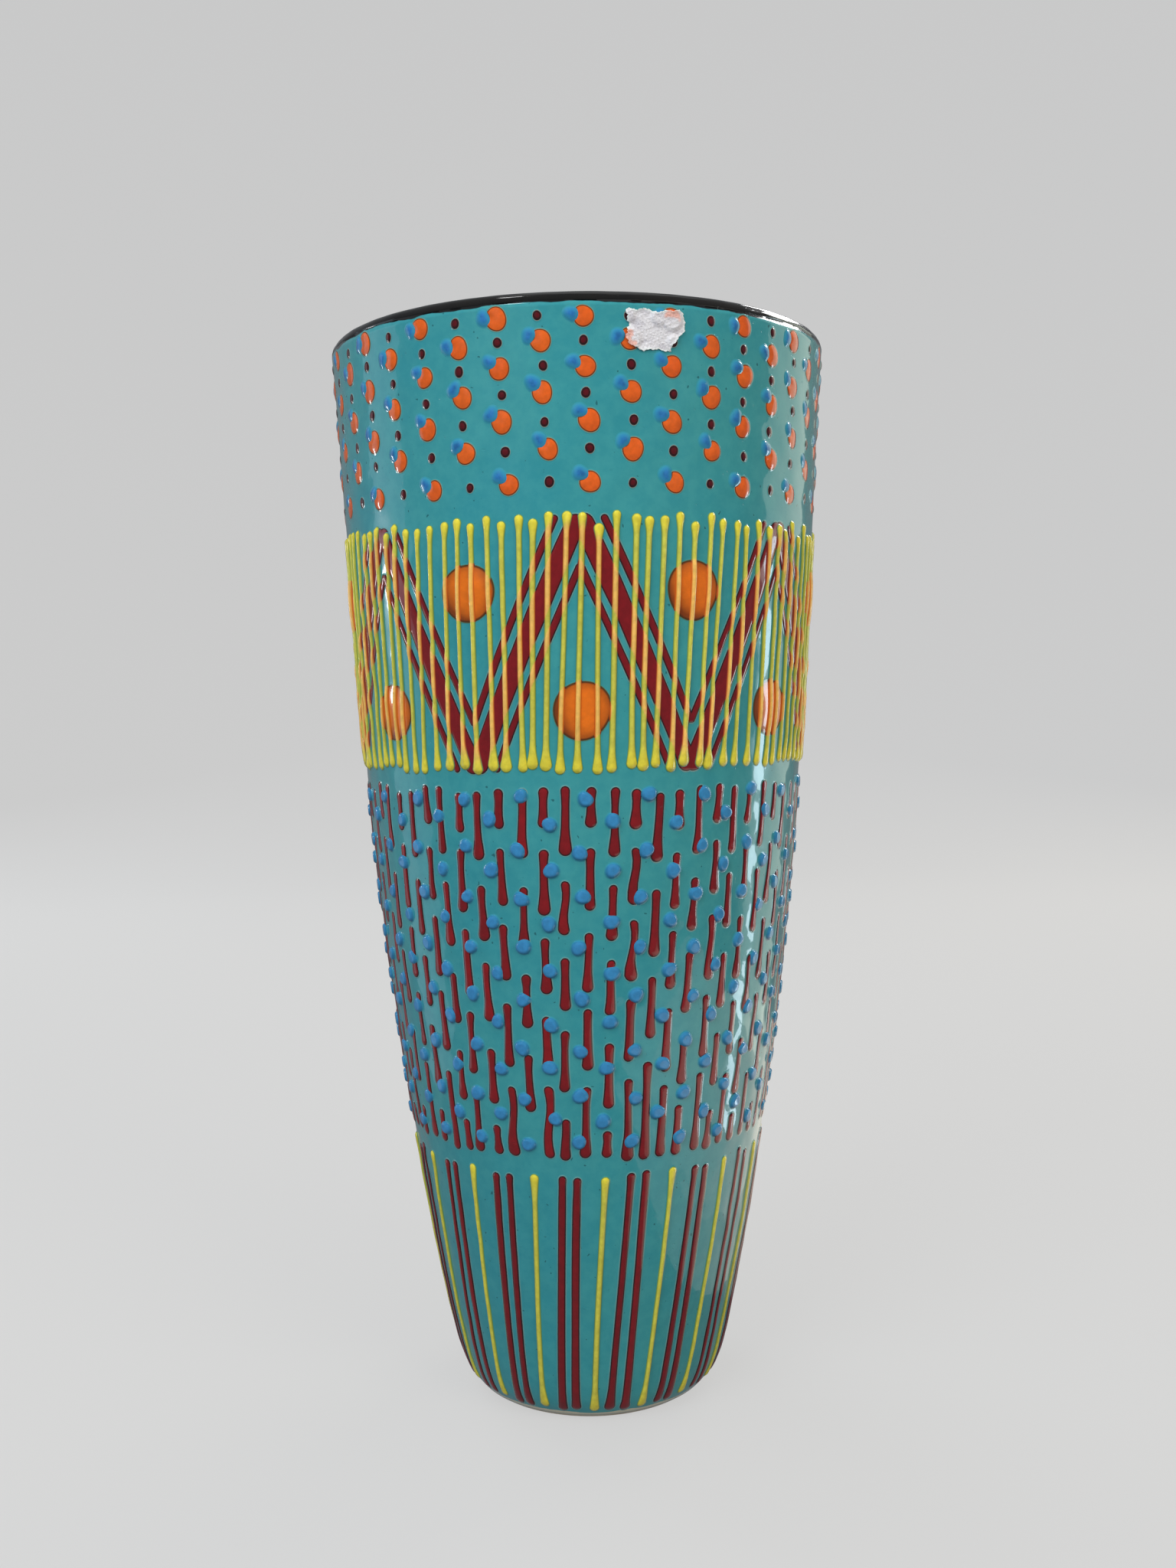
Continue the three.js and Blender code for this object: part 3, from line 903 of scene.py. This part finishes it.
def make_dashes():
    """Columns of dark-red dashes. Every second column starts with a short one."""
    dashes = Sheet("red_dashes")
    for column in range(DASH_COLUMNS):
        turn = 360 * (column + vary(-0.12, 0.12)) / DASH_COLUMNS
        centre = math.radians(1.6 + turn)
        drift = math.radians(vary(-3.0, -1.4))

        def lean(y, drift=drift):
            return drift * (DASH_TOP - y) / (DASH_TOP - DASH_BOTTOM)

        top = DASH_TOP + vary(-2.0, 1.5)
        length, later, gap = DASH_KINDS[column % 2]
        while top > DASH_BOTTOM + SHORTEST_DASH:
            bottom = top - length
            last = DASH_BOTTOM + vary(-1.2, 1.0)
            if bottom - gap - last < SHORTEST_DASH:
                bottom = last
            make_dash(dashes, centre, lean, bottom, top)
            top = bottom - gap + vary(-1.8, 1.5)
            length = later + vary(-3.2, 2.0)
    dashes.build(RED, "red_relief")


def make_dash(sheet, centre, lean, bottom, top):
    """A short bone-shaped stroke with a round top and a fatter bottom. A few are bent."""
    knob, shaft, bulb = vary(1.3, 1.6), vary(1.05, 1.3), vary(1.65, 2.1)
    span = top - bottom
    neck = bottom + bulb + 0.11 * span
    ys = [bottom + bulb, neck, bottom + bulb + 0.25 * span, top - 0.25 * span, top - knob]
    halves = [bulb, bulb * 0.88, shaft * 1.12, shaft, knob]
    slip = math.radians(vary(-0.35, 0.35))
    bend = math.radians(vary(-0.12, 0.12) + (BENT_BY if hand.random() < BENT_SHARE else 0))

    def bent(y):
        down = (top - y) / span
        return lean(y) + slip * down + bend * np.sin(2 * math.pi * down)

    bead(sheet, upright(centre, bent), ys, halves, DASH_RISE, LONG_STEP, tone=vary(0.2, 0.9))


PEARL_COLUMNS = 48
PEARL_TOP = 222.0
PEARL_STEP = 16.7
PEARL_RISE = 1.15
PEARL_CROWN = 0.85  # steep sides, so that a pearl stands clear of the dashes it lies over


def make_pearls():
    """Columns of blue pearls over the dashes. Every second column sits about half a step lower."""
    pearls = Sheet("blue_pearls")
    for column in range(PEARL_COLUMNS):
        odd = column % 2
        for row in range(7 if odd else 8):
            height = PEARL_TOP - PEARL_STEP * (row + 0.45 * odd) + vary(-1.3, 1.3)
            share = (PEARL_TOP - height) / (PEARL_TOP - DASH_BOTTOM)
            centre = math.radians(360 * column / PEARL_COLUMNS - 3.0 * share + vary(-0.8, 0.8))
            dot(pearls, centre, height, vary(2.2, 2.55), PEARL_RISE, 0.06, crown=PEARL_CROWN)
    pearls.build(PEARL, "blue_relief")


# -------- the foot band

FOOT_LINE_LOW = 4.2
FOOT_LEAN = math.radians(-4.3)
FOOT_PAIR_HALF = 2.5  # from the middle of a pair of red lines to either of them
FOOT_YELLOW_RISE = 0.85
FOOT_RED_RISE = 0.62


def foot_line(sheet, centre, drift, low, top, sizes, rise, tone, beside=0.0):
    """A long line down to the foot. sizes are the half widths of its shaft, its top knob and its
    bottom bulb. beside is how far it keeps to one side of its centre."""
    shaft, knob, bulb = sizes
    bend, phase = math.radians(vary(0.1, 0.5)), vary(0, 6.3)

    def lean(y):
        share = (top - y) / (top - low)
        sway = bend * np.sin(4 * share + phase) * share * (1 - 0.5 * share)
        return drift * share + sway + beside / wall(y)

    ys = [low + bulb, low + bulb + 1.8, low + 9, low + 30, low + 55]
    ys += [top - 10, top - knob - 1.5, top - knob]
    halves = [bulb, bulb * 0.86, shaft * 1.08, shaft, shaft, shaft, knob * 0.85, knob]
    halves = np.asarray(halves) * (1 + vary(-0.05, 0.05, len(halves)))
    bead(sheet, upright(centre, lean), ys, halves, rise, LONG_STEP, tone=tone)


def make_foot_lines():
    """Yellow trails down to the foot, with a pair of red lines between each two."""
    yellow, red = Sheet("foot_yellow_trails"), Sheet("foot_red_lines")
    nodes = [f"foot_trail_{i + 1:02d}" for i in range(FOOT_TRAILS)]
    for node in nodes:
        start = cad_angle(node) - FOOT_LEAN / 2
        centre = start + math.radians(vary(-0.5, 0.5))
        low = FOOT_LINE_LOW + vary(0, 1.4)
        top = FOOT_TRAIL_TOP + vary(-0.8, 0.8)
        sizes = vary(0.7, 0.85), vary(1.2, 1.45), vary(1.4, 1.7)
        foot_line(yellow, centre, FOOT_LEAN, low, top, sizes, FOOT_YELLOW_RISE, (0.35, 1.0))
        for side in (-1, 1):
            centre = start + math.pi / FOOT_TRAILS + math.radians(vary(-0.3, 0.3))
            lean = FOOT_LEAN + math.radians(vary(-0.4, 0.4))
            low = FOOT_LINE_LOW + vary(-0.2, 0.9)
            top = FOOT_TRAIL_TOP + vary(-1.0, 1.4)
            sizes = vary(1.1, 1.3), vary(1.3, 1.55), vary(1.6, 1.85)
            tone = vary(0, 0.6)
            foot_line(red, centre, lean, low, top, sizes, FOOT_RED_RISE, tone, side * FOOT_PAIR_HALF)
    yellow.build(YELLOW, "yellow_relief", nodes)
    red.build(RED, "red_relief")


# -------- the paper label

LABEL_COLUMNS = 110
LABEL_ROWS = 76
LABEL_WIDTH = 19.4
PAPER_THICK = 0.12
PAPER_GAP = 0.08
OVER_MARKS = 0.15  # how far the paper stays off the marks that it lies over
EDGE_CURL = 0.3


def ragged(place, first, second, third):
    """How far a torn edge wanders off its line, in millimetres."""
    coarse = 0.4 * np.sin(5 * place + first) + 0.26 * np.sin(13 * place + second)
    return coarse + 0.16 * np.sin(31 * place + third) + 0.09 * np.sin(67 * place - first)


def torn_outline(u, v, half_height):
    """The label's torn edges: left and right at each v, top and bottom at each u. The lower right
    corner is torn off, and the top edge has a nick."""
    right = LABEL_WIDTH / 2 - 0.4 + ragged(v, 0.4, 2.0, 1.0) * 0.7 - 4.9 * smooth(0.15, -1.05, v)
    right = right - 1.8 * smooth(0.72, 1.0, v) ** 2
    left = -LABEL_WIDTH / 2 + 0.3 + ragged(v, 1.1, 0.3, 2.0)
    nick = 1.0 * smooth(-0.25, 0.0, u) * smooth(0.4, 0.1, u)
    top = half_height - 0.3 + ragged(u, 2.2, 1.0, 0.6) * 0.6 - nick
    bottom = -half_height + 0.3 + ragged(u, 0.2, 2.6, 1.4) * 0.6 + 1.2 * smooth(-0.35, -1.0, u)
    return left, right, top, bottom


def over_marks(angle, height):
    """How far the marks below push the paper out, and how pink it is over the orange ones."""
    over, pink = np.zeros_like(height), np.zeros_like(height)
    for mark_angle, mark_height, radius, warm in rim_marks:
        away = np.hypot((angle - mark_angle) * wall(mark_height), height - mark_height)
        over = np.maximum(over, (DOT_RISE + OVER_MARKS) * smooth(radius + 1.2, radius - 0.6, away))
        pink = np.maximum(pink, warm * smooth(radius + 0.5, radius - 1.2, away))
    return over, pink


def make_label():
    """A torn scrap of paper, wrinkled where it was rubbed down over the dots."""
    low, high = cad_span("price_label")
    middle, half_height = (low + high) / 2, (high - low) / 2
    u, v = np.linspace(-1, 1, LABEL_COLUMNS), np.linspace(-1, 1, LABEL_ROWS)
    uu, vv = np.meshgrid(u, v)
    left, right, top, bottom = torn_outline(u, v, half_height)
    x = left[:, None] + (right - left)[:, None] * (uu + 1) / 2
    y = bottom[None, :] + (top - bottom)[None, :] * (vv + 1) / 2
    angle = cad_angle("price_label") + x / wall(middle + y)
    over, pink = over_marks(angle, middle + y)
    folds = 0.07 * np.sin(2.3 * x + 0.9 * y) + 0.06 * np.sin(0.8 * x + 3.4 * y + 1)
    folds += 0.05 * np.sin(4.1 * x - 3.1 * y) + 0.035 * np.sin(6.3 * x + 5.2 * y + 2)
    edge = np.minimum((1 - np.abs(uu)) * LABEL_WIDTH / 2, (1 - np.abs(vv)) * half_height)
    curl = EDGE_CURL * smooth(1.5, 0, edge) * (0.5 + 0.5 * np.sin(3 * uu + 4 * vv))
    lift = PAPER_GAP + np.abs(folds) + curl + over
    pink *= smooth(3.4, 1.2, edge)
    front = on_wall(angle, middle + y, lift + PAPER_THICK).reshape(-1, 3)
    back = on_wall(angle, middle + y, lift).reshape(-1, 3)
    sheet = Sheet("torn_label")
    both = np.concatenate([front, back])
    sheet.add(both, label_faces(), inset=np.tile(edge.ravel(), 2), tone=np.tile(pink.ravel(), 2))
    sheet.build(PAPER, "label_paper", ["price_label"])


def label_faces():
    """Faces of the label's front and back, and of the rim that joins them."""
    rows, columns = LABEL_ROWS, LABEL_COLUMNS
    count = rows * columns
    faces = grid_faces(rows, columns)
    faces += [tuple(count + i for i in face[::-1]) for face in faces]
    rim = [*range(columns), *range(2 * columns - 1, count, columns)]
    rim += [*range(count - 2, count - columns - 1, -1), *range(count - 2 * columns, 0, -columns)]
    return faces + [(b, a, a + count, b + count) for a, b in zip(rim, rim[1:] + rim[:1])]


# -------- stage, lights and camera

STAGE_FLAT = 1.6
STAGE_BEND = 1.2
STAGE_TOP = 4.0
STAGE_GAP = 0.0003  # how far the floor is below the foot ring, so that they don't coincide
STAGE_GLOW = 0.545
STAGE_SEGMENTS = 96
BEND_ROWS = 16


def stage_material():
    """Pale paper that is lit a little from behind."""
    m = Shading("pale_paper")
    m.set(Base_Color=linear(96, 96, 96), Roughness=0.9, Specular_IOR_Level=0.0)
    m.set(Emission_Color=linear(255, 255, 255), Emission_Strength=STAGE_GLOW)
    m.material.cycles.emission_sampling = "NONE"
    return m.material


def make_stage():
    """A pale floor that curves up all round into a backdrop."""
    profile = [(STAGE_FLAT, 0)]
    for i in range(1, BEND_ROWS + 1):
        turn = i * math.pi / 2 / BEND_ROWS
        profile.append((STAGE_FLAT + STAGE_BEND * math.sin(turn), STAGE_BEND * (1 - math.cos(turn))))
    profile.append((STAGE_FLAT + STAGE_BEND, STAGE_TOP))
    points, faces = [(0, 0, -STAGE_GAP)], []
    for radius, height in profile:
        for i in range(STAGE_SEGMENTS):
            turn = 2 * math.pi * i / STAGE_SEGMENTS
            points.append((radius * math.cos(turn), radius * math.sin(turn), height - STAGE_GAP))
    for i in range(STAGE_SEGMENTS):
        faces.append((0, 1 + i, 1 + (i + 1) % STAGE_SEGMENTS))
    for face in grid_faces(len(profile), STAGE_SEGMENTS, closed=True):
        low, low_after, high_after, high = (1 + i for i in face)
        faces.append((low, high, high_after, low_after))
    mesh = bpy.data.meshes.new("floor_and_backdrop")
    mesh.from_pydata(points, [], faces)
    mesh.shade_smooth()
    mesh.materials.append(stage_material())
    stage = bpy.data.objects.new("floor_and_backdrop", mesh)
    stage.visible_glossy = False
    stage.visible_diffuse = False
    bpy.context.scene.collection.objects.link(stage)


def area_light(name, place, target, size, radiance, colour, soft):
    """A rectangular light of a given brightness. A soft one lights the vase but isn't mirrored in its
    glaze, and any other is seen only as its reflection."""
    data = bpy.data.lights.new(name, "AREA")
    data.shape = "RECTANGLE"
    data.size, data.size_y = size
    data.energy = radiance * math.pi * size[0] * size[1]
    data.color = colour
    light = bpy.data.objects.new(name, data)
    light.visible_camera = False
    light.visible_diffuse = soft
    light.visible_glossy = not soft
    aim = Vector(target) - Vector(place)
    light.matrix_world = Matrix.Translation(place) @ aim.to_track_quat("-Z", "Y").to_matrix().to_4x4()
    bpy.context.scene.collection.objects.link(light)


WHITE = (1, 1, 1)
SKY_BLUE = (0.70, 0.88, 1.0)
COOL = (0.90, 0.97, 1.0)
WARM = (1.0, 0.92, 0.76)
LEAFY = (0.92, 1.0, 0.84)
WINDOW_BRIGHTNESS = 6.5


def make_window():
    """A tall window on the right, broken up in its lower part by what stands before it. It shows
    only as a bright, uneven streak down the glaze."""
    panes = [(0.245, 0.15, 0.052, 0.0)]
    low = 0.155
    while low > -0.05:
        height = vary(0.014, 0.028)
        panes.append((low - height / 2, height, vary(0.028, 0.060), vary(-0.018, 0.018)))
        low -= height + vary(0.005, 0.013)
    for i, (height, tall, wide, aside) in enumerate(panes):
        place, target = (0.40 + 0.2 * aside, 0.03 + aside, height), (0.07, -0.05 + aside, height)
        area_light(f"window_right_{i}", place, target, (wide, tall), WINDOW_BRIGHTNESS, SKY_BLUE, False)


def make_lights():
    """Five soft lights, and panels that are seen only as the room's reflections in the glaze."""
    middle = (0, 0, HEIGHT * 0.7 * MM)
    for name, place, size, radiance, colour in (
        ("overhead", (-0.2, -0.4, 2.0), (1.8, 1.8), 1.6, WHITE),
        ("front_left", (-0.9, -1.25, 1.0), (1.0, 1.2), 4.4, COOL),
        ("front_right", (1.0, -1.1, 0.9), (0.8, 1.0), 4.2, WARM),
        ("back_left", (-1.0, 1.3, 1.0), (1.0, 1.2), 3.4, COOL),
        ("back_right", (1.0, 1.3, 1.0), (1.0, 1.2), 3.4, WARM),
    ):
        area_light(name, place, middle, size, radiance, colour, True)
    make_window()
    for name, place, target, size, radiance, colour in (
        ("window_left", (-0.42, 0.06, 0.285), (-0.07, -0.05, 0.285), (0.024, 0.085), 18, WHITE),
        ("room_right", (0.75, 0.30, 0.30), (0.05, 0, 0.25), (0.55, 0.9), 1.0, LEAFY),
        ("room_left", (-0.80, 0.10, 0.25), (-0.05, 0, 0.25), (0.35, 0.9), 0.6, SKY_BLUE),
        ("table_right", (0.29, 0.0, 0.001), (0.29, 0.0, 1.0), (0.38, 0.7), 0.55, WARM),
        ("table_near", (0.31, 0.02, 0.002), (0.31, 0.02, 1.0), (0.30, 0.6), 0.35, WARM),
        ("ceiling", (0.1, 0.2, 1.7), (0, 0, 0.38), (0.9, 0.9), 0.28, WHITE),
        ("lip_right", (0.55, 0.42, 0.85), (0.08, 0, 0.38), (0.6, 0.2), 12, WHITE),
        ("lip_left", (-0.24, -0.20, 1.05), (-0.03, -0.08, 0.38), (0.12, 0.05), 12, WHITE),
    ):
        area_light(name, place, target, size, radiance, colour, False)


def make_world():
    """A dim, even, slightly cool light from all round."""
    world = bpy.data.worlds.new("studio")
    world.use_nodes = True
    background = world.node_tree.nodes["Background"]
    background.inputs["Color"].default_value = linear(235, 240, 245)
    background.inputs["Strength"].default_value = 0.22
    bpy.context.scene.world = world


# The camera, in metres and degrees, measured from the middle of the foot. Its lens is in millimetres.
CAMERA_BACK = 1.49015 * GLAZE_TOP * MM
CAMERA_HEIGHT = 0.67234 * GLAZE_TOP * MM
CAMERA_DOWN = 3.181
CAMERA_TURN = -0.171
CAMERA_ROLL = -0.8855
CAMERA_LENS = 34.63


def make_camera():
    """The camera that took the photo, as fitted to the rim, the foot and both sides."""
    data = bpy.data.cameras.new("camera")
    data.sensor_width = 36
    data.lens = CAMERA_LENS
    data.clip_start, data.clip_end = 0.01, 50
    camera = bpy.data.objects.new("camera", data)
    turn = Matrix.Rotation(math.radians(CAMERA_TURN), 4, "Z")
    tilt = Matrix.Rotation(math.radians(90 - CAMERA_DOWN), 4, "X")
    roll = Matrix.Rotation(math.radians(CAMERA_ROLL), 4, "Z")
    camera.matrix_world = Matrix.Translation((0, -CAMERA_BACK, CAMERA_HEIGHT)) @ turn @ tilt @ roll
    bpy.context.scene.collection.objects.link(camera)
    bpy.context.scene.camera = camera


make_camera()
make_clay_body()
make_outer_glaze()
make_inner_glaze()
make_zigzag()
make_discs()
make_yellow_trails()
make_dots()
make_dashes()
make_pearls()
make_foot_lines()
make_label()
make_stage()
make_lights()
make_world()
bpy.context.scene.view_settings.view_transform = "Standard"
